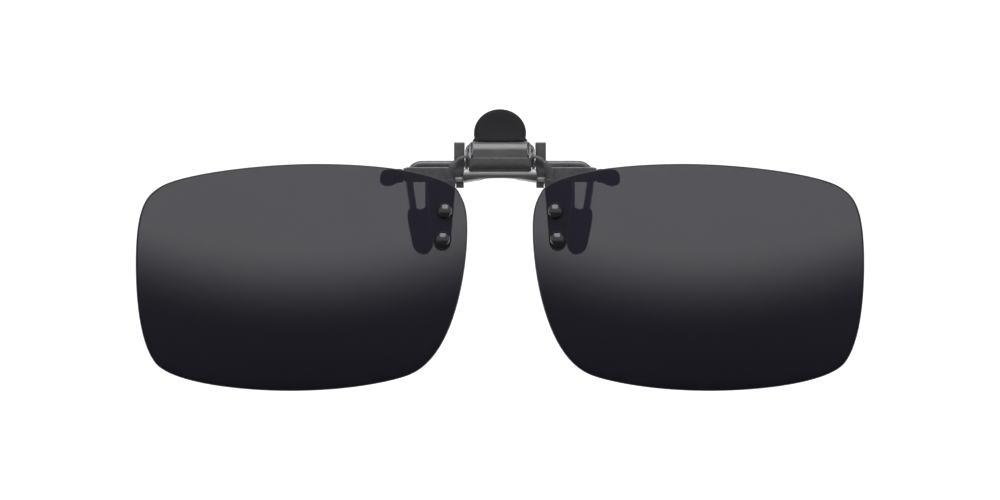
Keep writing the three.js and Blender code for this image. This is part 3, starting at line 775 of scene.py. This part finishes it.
def hook_sleeve(name, side):
    """A soft rubber sleeve, open at one end, over the hook arm's tip."""
    outline = spline([
        (17.34, -2.42), (19.2, -2.36), (20.8, -2.6), (21.38, -3.6), (21.28, -4.85), (20.3, -5.36),
        (19.1, -5.18), (18.3, -4.78), (17.34, -4.64), (17.32, -3.4),
    ], 8, closed=True)
    made = blank([tuple(p) for p in outline], SLEEVE_BACK - SLEEVE_FRONT, 0.5, 0.3, edge_steps=6)
    sleeve = Shape().add_blank(made, flat((SLEEVE_FRONT + SLEEVE_BACK) / 2, side))
    sleeve = sleeve.object(f"fine_hook_sleeve_{name}")
    fit = SLOT_FIT
    slot = [(16.9, -2.75 + fit), (16.9, -4.3 - fit), (20.6 + fit, -4.3 - fit), (20.6 + fit, -2.75 + fit)]
    made = blank(rounded(slot, 0.3), SHEET_BACK - SHEET_FRONT + 2 * fit, 0.05, 0.6)
    tool = Shape().add_blank(made, flat((SHEET_FRONT + SHEET_BACK) / 2, side)).object("slot_tool")
    return combine(sleeve, tool, "DIFFERENCE")


# ---------- flip front ----------
def folded(y, ear_x, towards):
    """The plan of a plate with an ear folded at each end: its +X half, from the plate's middle."""
    start = ear_x - FOLD
    turn = arc(start, y + towards * FOLD, FOLD, -90 * towards, 0, 10)
    return Bend([(0, y), *turn, (ear_x, y + towards * 6)])


def bridge_plate():
    """The plate across the front, with a round ear folded back at each end."""
    plan = folded(BRIDGE["y"], BRIDGE["ear_x"], 1)
    fold_end = BRIDGE["ear_x"] - FOLD + FOLD * math.pi / 2
    ear = lambda y: fold_end + (y - BRIDGE["y"] - FOLD)
    lobe = arc(ear(0), 0, BRIDGE_EAR, -100, 122, 40)
    half = [(ear(-1.6), BRIDGE["bottom"]), *lobe, (fold_end, BRIDGE["top"])]
    holes = [circle(BORE, 32, side * ear(0)) for side in (1, -1)]
    made = blank(both_halves(half), 1.0, 0.11, 0.22, holes)

    def bend(u, v, w):
        folding = portion(abs(u), BRIDGE["thins_from"], BRIDGE["thins_to"])
        thick = BRIDGE["thick"] + (BRIDGE["ear_thick"] - BRIDGE["thick"]) * folding
        x, y = plan.at(abs(u), w * thick)
        low = portion(v, BRIDGE_CURL["from"], BRIDGE["bottom"])
        return math.copysign(x, u), y + BRIDGE_CURL["back"] * low**2 * (1 - folding), v

    return Shape().add_blank(made, bend).object("fine_bridge_plate")


def lens_place(side):
    """The lens's frame, on the middle of its rear face."""
    turn = Matrix.Rotation(side * LENS["wrap"], 4, "Z")
    return Matrix.Translation((side * LENS["x"], LENS["y"], LENS["z"])) @ turn


def lens_depth(u, v, forward):
    """Y of the lens's face that lies forward of the rear one, at (u, v) of the lens's frame."""
    return LENS["sphere"] - math.sqrt((LENS["sphere"] + forward) ** 2 - u**2 - v**2)


def rivet_place(side, level=None):
    """The frame on the lens's rear face between its two rivets, or at one of them; -Y points forward."""
    x = (RIVETS_AT[0] - LENS["x"]) / math.cos(LENS["wrap"])
    z = RIVETS_AT[1] - LENS["z"]
    y = lens_depth(x, z, 0)
    outward = Vector((side * x, y - LENS["sphere"], z)).normalized()
    turn = Vector((0, -1, 0)).rotation_difference(outward).to_matrix().to_4x4()
    here = lens_place(side) @ Matrix.Translation((side * x, y, z)) @ turn
    if level:
        across, up = RIVET_OFFSET[level]
        here = here @ Matrix.Translation((side * across, 0, up))
    return here


def lens(name, side):
    """A spherical lens with a softened ground edge and two drilled holes."""
    outline = [
        ((x - LENS["x"]) / math.cos(LENS["wrap"]), z - LENS["z"])
        for x, z in bezier(LENS_START, LENS_CURVES, 22)
    ]
    here = lens_place(side)
    thick = LENS["thick"]
    made = blank(outline, thick, 0.2, 1.1, edge_steps=5)

    def bend(u, v, w):
        return here @ Vector((side * u, lens_depth(u, v, thick / 2 - w), v))

    glass = Shape().add_blank(made, bend, edge_finish=1).object(f"fine_lens_{name}", 30)
    for level in LEVELS:
        drill = tube([(0, y, 0) for y in (-4, 0, 4)], LENS_HOLE, 40)
        at = rivet_place(side, level)
        tool = Shape().add([at @ p for p in drill[0]], drill[1]).object("drill_tool")
        glass = combine(glass, tool, "DIFFERENCE", 30)
    return glass


def on_rivet(node, side, level, profile, sharp=38):
    """A piece turned round a rivet's axis."""
    points, faces = lathe(profile, 56)
    at = rivet_place(side, level)
    return Shape().add([at @ Vector(p) for p in points], faces).object(f"fine_{node}", sharp)


def rivet_profile():
    head, top = RIVET["head"], RIVET["from"]
    dome = [
        (head * math.sin(math.radians(a)), top - 0.06 - (RIVET["dome"] - 0.06) * math.cos(math.radians(a)))
        for a in range(0, 91, 6)
    ]
    dome[0] = (0, dome[0][1])
    tail, start = RIVET["tail"], RIVET["tail_from"]
    end = [(r, start + along) for r, along in arc(0, 0.1, (tail, RIVET_TAIL_HEIGHT - 0.1), 0, 90, 6)]
    end[-1] = (0, end[-1][1])
    rim = [(head - 0.02, top - 0.02), (head - 0.06, top), (RIVET["shank"], top)]
    return dome + rim + [(RIVET["shank"], start), (tail - 0.04, start), *end]


def ring_profile(inner, outer, start, end, edge):
    """A flat ring's section, with rounded outer edges."""
    part = edge * 0.3
    return [
        (inner, start), (outer - edge, start), (outer - part, start + part), (outer, start + edge),
        (outer, end - edge), (outer - part, end - part), (outer - edge, end), (inner, end),
    ]


def washer_profile():
    return ring_profile(BORE, RIVET_WASHER["radius"], RIVET_WASHER["from"], RIVET_WASHER["to"], 0.05)


def bushing_profile():
    """A sleeve in the lens's hole with a flange behind it."""
    b = BUSHING
    return [
        (BORE, b["front"]), (b["sleeve"], b["front"]), (b["sleeve"], b["flange_from"]),
        (b["flange"] - 0.03, b["flange_from"]), (b["flange"], b["flange_from"] + 0.03),
        (b["flange"], b["flange_to"] - 0.03), (b["flange"] - 0.03, b["flange_to"]), (BORE, b["flange_to"]),
    ]


def lens_arm(name, side):
    """An edge-on strip that arches out and down, and the flat plate that the rivets hold."""
    x, z = STRIP["x"], STRIP["z"]
    outer = arc(x, z, STRIP["outer"], 89.4, 0, 36)
    inner = arc(x, z, STRIP["inner"], 0, 89.3, 30)
    foot = [(x + STRIP["outer"][0], STRIP["bottom"]), (x + STRIP["inner"][0], STRIP["bottom"])]
    made = blank(outer + foot + inner, STRIP_BACK - STRIP_FRONT, 0.08, 0.12)
    depth = STRIP_BACK - STRIP_FRONT
    wide, narrow = (out - inside for out, inside in zip(STRIP["outer"], STRIP["inner"]))

    def tilted(u, v, w):
        up = max(0.0, v - z)
        past_inner = math.hypot((u - x) / STRIP["inner"][0], up / STRIP["inner"][1]) - 1
        to_outer = 1 - math.hypot((u - x) / STRIP["outer"][0], up / STRIP["outer"][1])
        across = portion(past_inner, 0, past_inner + to_outer)
        square = portion(v, STRIP_TILT["square_from"], STRIP_TILT["square_to"])
        thick = STRIP_TILT["thick"] + (depth - STRIP_TILT["thick"]) * square
        out = across * (narrow + (wide - narrow) * min(1.0, (u - x) / STRIP["outer"][0]))
        bead = portion(out, STRIP_BEAD["from"], STRIP_BEAD["to"])
        back = (STRIP_TILT["back"] * across + STRIP_BEAD["step"] * bead) * (1 - square)
        return side * u, STRIP_FRONT + back + thick * (w / depth + 0.5), v

    strip = Shape().add_blank(made, tilted).object(f"fine_lens_arm_{name}")

    cx, cz, radius = PLATE["end"]
    corners = rounded([(cx + radius, cz), (2.6, 3.6, 1.0), (2.75, 8.0), (-2.4, 8.3)], 0.3)
    outline = corners[5:] + arc(cx, cz, radius, 180, 360, 24)
    holes = [circle(PLATE["hole"], 32, *RIVET_OFFSET[level]) for level in LEVELS]
    made = blank(outline, PLATE["to"] - PLATE["from"], 0.06, 0.5, holes)
    at = rivet_place(side)
    middle = (PLATE["from"] + PLATE["to"]) / 2
    plate = Shape().add_blank(made, lambda u, v, w: at @ Vector((side * u, middle + w, v)))
    return combine(strip, plate.object("plate_tool"), "UNION")


# ---------- rear jaw ----------
def tab_outline(half, start, height):
    """A tongue that ends in a half circle."""
    top = arc(0, height - half, half, 0, 180, 40)
    return [(-half, start), (half, start), *top]


def leaned(u, h, w):
    """A point h up the leaning tab from its foot and w behind its middle plane."""
    lean = math.radians(LEVER["lean"])
    return (
        u,
        LEVER["y"] + w * math.cos(lean) + h * math.sin(lean),
        LEVER["foot"] + h * math.cos(lean) - w * math.sin(lean),
    )


def clamp_lever():
    """One blank: a plate behind the roll, an ear folded forward to the pin at each end with a lug
    below, and a tongue for the thumb that leans back."""
    plan = folded(LEVER["y"], LEVER["ear_x"], -1)
    fold_end = LEVER["ear_x"] - FOLD + FOLD * math.pi / 2
    ear = lambda y: fold_end + (LEVER["y"] - FOLD - y)
    foot, bottom = LEVER["foot"], LEVER["bottom"]
    lobe = arc(ear(0), 0, 1.05, 0, 95, 14)
    edge = rounded([
        (0.5, bottom), (ear(2.2), bottom),
        (ear(1.2), -1.3, 0.3), (ear(0.2), -2.5, 0.15), (ear(-0.75), -2.5, 0.15),
        (ear(-0.95), -2.2, 0.2), *lobe, (ear(2.4), 1.15, 0.4), (5.7, 2.05, 0.4), (5.05, 2.62, 0.3),
        (TAB["half"], 2.64, 0.1), (TAB["half"], 3.0),
    ], 0.01)
    tongue = arc(0, foot + TAB["height"] - TAB["half"], TAB["half"], 0, 90, 24)
    half = [c for c in edge if c[1] < 2.95 and c[0] > 0.4] + tongue[:-1]
    holes = [circle(BORE, 32, side * ear(0)) for side in (1, -1)]
    made = blank(both_halves(half), LEVER["thick"], 0.11, 0.24, holes)

    def bend(u, v, w):
        x, y = plan.at(abs(u), -w)
        if v > foot:
            return leaned(math.copysign(x, u), v - foot, y - LEVER["y"])
        return math.copysign(x, u), y, v

    return Shape().add_blank(made, bend).object("fine_clamp_lever")


def thumb_pad():
    """A soft rubber cap on the tongue, with rounded edges and a dished face, open and level below."""
    foot, centre = THUMB_FOOT, THUMB["centre"]
    waist_angle = math.degrees(math.acos(foot["waist"] / THUMB["half"])) / 2
    half = [
        (foot["half"], foot["from"]),
        (foot["half"], foot["height"]),
        (foot["waist"], foot["waist_height"]),
    ]
    top = arc(0, centre, (THUMB["half"], THUMB["rise"]), -waist_angle, 90, 30)
    outline = both_halves(half + top[:-1])
    made = blank(outline, THUMB["thick"], 0.85, 0.32, edge_steps=8)

    def bend(u, h, w):
        reach = min(1.0, math.hypot(u, h - centre) / THUMB["half"])
        dish = THUMB_DISH * (1 - reach**2) ** 2
        return leaned(u, h, w + (dish if w < 0 else -dish / 2))

    pad = Shape().add_blank(made, bend).object("fine_thumb_pad", 50)
    fit = SLOT_FIT
    made = blank(tab_outline(TAB["half"] + fit, -2, TAB["height"] + fit), LEVER["thick"] + 2 * fit, 0.05, 0.8)
    pad = combine(pad, Shape().add_blank(made, leaned).object("slot_tool"), "DIFFERENCE", 50)
    box = blank([(-9, -9), (9, -9), (9, 9), (-9, 9)], 6, 0.1, 20)
    level = Shape().add_blank(box, lambda u, v, w: (u, v, THUMB["bottom"] - 3 + w)).object("trim_tool")
    return combine(pad, level, "DIFFERENCE", 50)


WIRE_POINTS = (
    (0.15, 2.95, -1.42), (3, 2.95, -1.42), (6.3, 2.98, -1.42), (10.2, 3.5, -1.42),
    (13.4, 4.0, -1.42), (14.6, 4.12, -1.5), (15.45, 4.17, -1.95), (16.0, 4.2, -2.75),
    (16.18, 4.18, -3.9), (16.05, 4.02, -5.8), (15.52, 3.45, -9.3), (15.18, 3.24, -12.2),
    (14.8, 3.22, -14.2), (13.95, 3.22, -15.3), (13.05, 3.22, -14.2), (12.78, 3.24, -12.2),
    (12.75, 3.42, -9.3), (12.75, 3.82, -5), (12.75, 3.9, -2.25),
)


def wire_shape(side, radius):
    """The wire, out and back over the spectacles' rim, down, round inside its pad and up again."""
    points, faces = tube(spline(WIRE_POINTS, 9), radius, 20)
    return Shape().add([(side * p.x, p.y, p.z) for p in points], faces)


def rear_pad(name, side):
    """A soft rubber pad moulded round the wire's loop, flat where it grips."""
    outline = spline([
        (16.45, -9.8), (15.6, -9.05), (14.25, -9.48), (12.9, -9.0), (11.97, -9.7), (11.88, -13),
        (12.1, -16.3), (13.3, -17.55), (15.1, -16.9), (15.97, -14.2),
    ], 9, closed=True)
    made = blank([tuple(p) for p in outline], PAD_BACK - PAD_FRONT, 0.55, 0.35, edge_steps=6)
    pad = Shape().add_blank(made, flat((PAD_FRONT + PAD_BACK) / 2, side)).object(f"fine_rear_pad_{name}")
    return combine(pad, wire_shape(side, WIRE_RADIUS + CHANNEL_FIT).object("channel_tool"), "DIFFERENCE")


def build_pieces():
    """Makes each fine piece and lets it stand for its CAD node."""
    stand_for(base_frame(), "base_frame", "pale_metal", PALE)
    stand_for(hinge_pin(), "hinge_pin", "polished_metal", STEEL)
    stand_for(torsion_spring(), "torsion_spring", "polished_metal", STEEL)
    stand_for(bridge_plate(), "bridge_plate", "gunmetal", GUNMETAL)
    stand_for(clamp_lever(), "clamp_lever", "gunmetal", GUNMETAL)
    stand_for(thumb_pad(), "thumb_pad", "black_rubber", RUBBER)
    for name, side in SIDES:
        stand_for(friction_washer(name, side), f"friction_washer_{name}", "polished_metal", STEEL)
        stand_for(hook_arm(name, side), f"hook_arm_{name}", "gunmetal", GUNMETAL)
        stand_for(hook_sleeve(name, side), f"hook_sleeve_{name}", "black_rubber", RUBBER)
        stand_for(lens(name, side), f"lens_{name}", "smoke_lens", SMOKE, GROUND)
        stand_for(lens_arm(name, side), f"lens_arm_{name}", "dark_metal", DARK)
        wire = wire_shape(side, WIRE_RADIUS).object(f"fine_jaw_wire_{name}")
        stand_for(wire, f"jaw_wire_{name}", "gunmetal", GUNMETAL)
        stand_for(rear_pad(name, side), f"rear_pad_{name}", "black_rubber", RUBBER)
        for level in LEVELS:
            end = f"{name}_{level}"
            rivet = on_rivet(f"rivet_{end}", side, level, rivet_profile(), 30)
            stand_for(rivet, f"rivet_{end}", "polished_metal", POLISHED)
            washer = on_rivet(f"rivet_washer_{end}", side, level, washer_profile())
            stand_for(washer, f"rivet_washer_{end}", "dark_nylon", NYLON)
            bushing = on_rivet(f"rivet_bushing_{end}", side, level, bushing_profile())
            stand_for(bushing, f"rivet_bushing_{end}", "dark_nylon", NYLON)


# ---------- stage ----------
VIEW = {"width": 178.4, "middle": -16.76, "plane": 0.4, "lens": 200.0, "sensor": 36.0}
FLOOR = {
    "z": -105.0, "half_width": 420.0, "front": 30.0, "back": 760.0, "sweep": 160.0, "height": 520.0,
    "glow": 0.68,
}


def floor():
    """A pale plain floor that sweeps up behind."""
    sweep = FLOOR["sweep"]
    line = [(FLOOR["front"], 0), (FLOOR["back"] - sweep, 0)]
    line += arc(FLOOR["back"] - sweep, sweep, sweep, -90, 0, 16)
    line += [(FLOOR["back"], FLOOR["height"])]
    points, faces = [], []
    for y, up in line:
        points += [place(side * FLOOR["half_width"], y, FLOOR["z"] + up) for side in (-1, 1)]
    for i in range(len(line) - 1):
        faces.append((2 * i, 2 * i + 1, 2 * i + 3, 2 * i + 2))
    mesh = bpy.data.meshes.new("floor")
    mesh.from_pydata([tuple(p) for p in points], [], faces)
    mesh.polygons.foreach_set("use_smooth", [True] * len(faces))
    thing = bpy.data.objects.new("floor", mesh)
    bpy.context.scene.collection.objects.link(thing)
    material, shader, where, nodes, links = new_material("studio_floor")
    shader.inputs["Roughness"].default_value = 0.9
    shader.inputs["Emission Strength"].default_value = FLOOR["glow"]
    shader.inputs["Emission Color"].default_value = (1, 1, 1, 1)
    paper = noise(nodes, links, where, 0.02, 2.0)
    links.new(between(nodes, links, paper, (0.88, 0.88, 0.88), (0.9, 0.9, 0.9)), shader.inputs["Base Color"])
    thing.data.materials.append(material)


ABOVE = ((0, -153, 315), (450, 490), 0.6)  # each lamp's place, size and watts
STRIP_LIGHT = ((333, 108, -60), (220, 550), 0.4)
AIM = (0, -2, -8)


def light(name, at, size, power):
    """A soft lamp of (width, height) millimetres that faces the object."""
    lamp = bpy.data.lights.new(name, "AREA")
    lamp.shape = "RECTANGLE"
    lamp.size, lamp.size_y = size[0] * MM, size[1] * MM
    lamp.energy = power
    thing = bpy.data.objects.new(name, lamp)
    bpy.context.scene.collection.objects.link(thing)
    thing.location = place(*at)
    thing.rotation_euler = (place(*AIM) - place(*at)).to_track_quat("-Z", "Y").to_euler()


SKY = {
    "below": 0.06, "front": 0.24, "behind": 1.0, "dark_until": -0.5, "level_from": 0.0,
    "turns_white_from": 0.5, "white_from": 0.95, "seen": 1.05,
}


def studio_walls():
    """The room round the object: white where the camera looks at it, dim in front, dimmer below."""
    world = bpy.data.worlds.new("studio")
    bpy.context.scene.world = world
    world.use_nodes = True
    nodes, links = world.node_tree.nodes, world.node_tree.links
    room = nodes["Background"]
    room.inputs["Color"].default_value = (1, 1, 1, 1)
    axes = nodes.new("ShaderNodeSeparateXYZ")
    links.new(nodes.new("ShaderNodeTexCoord").outputs["Generated"], axes.inputs["Vector"])

    behind = ranged(nodes, links, axes.outputs["Y"], SKY["turns_white_from"], SKY["white_from"])
    z, low, high = axes.outputs["Z"], SKY["below"], SKY["front"]
    in_front = ranged(nodes, links, z, SKY["dark_until"], SKY["level_from"], low, high)
    links.new(mixed(nodes, links, behind, in_front, SKY["behind"], "FLOAT"), room.inputs["Strength"])
    seen = nodes.new("ShaderNodeBackground")
    seen.inputs["Strength"].default_value = SKY["seen"]
    seen.inputs["Color"].default_value = (1, 1, 1, 1)
    pick = nodes.new("ShaderNodeMixShader")
    links.new(nodes.new("ShaderNodeLightPath").outputs["Is Camera Ray"], pick.inputs["Fac"])
    links.new(room.outputs["Background"], pick.inputs[1])
    links.new(seen.outputs["Background"], pick.inputs[2])
    links.new(pick.outputs["Shader"], nodes["World Output"].inputs["Surface"])


def camera():
    lens_view = bpy.data.cameras.new("camera")
    lens_view.lens = VIEW["lens"]
    lens_view.sensor_width = VIEW["sensor"]
    thing = bpy.data.objects.new("camera", lens_view)
    bpy.context.scene.collection.objects.link(thing)
    distance = VIEW["width"] * VIEW["lens"] / VIEW["sensor"]
    thing.location = place(0, VIEW["plane"] - distance, VIEW["middle"])
    thing.rotation_euler = (math.pi / 2, 0, 0)
    bpy.context.scene.camera = thing


def stage():
    """Floor, lamps, walls and camera, with colours shown as they are lit."""
    floor()
    light("above", *ABOVE)
    for name, side in SIDES:
        (x, y, z), size, power = STRIP_LIGHT
        light(f"strip_{name}", (side * x, y, z), size, power)
    studio_walls()
    camera()
    bpy.context.scene.view_settings.view_transform = "Standard"


build_pieces()
stage()
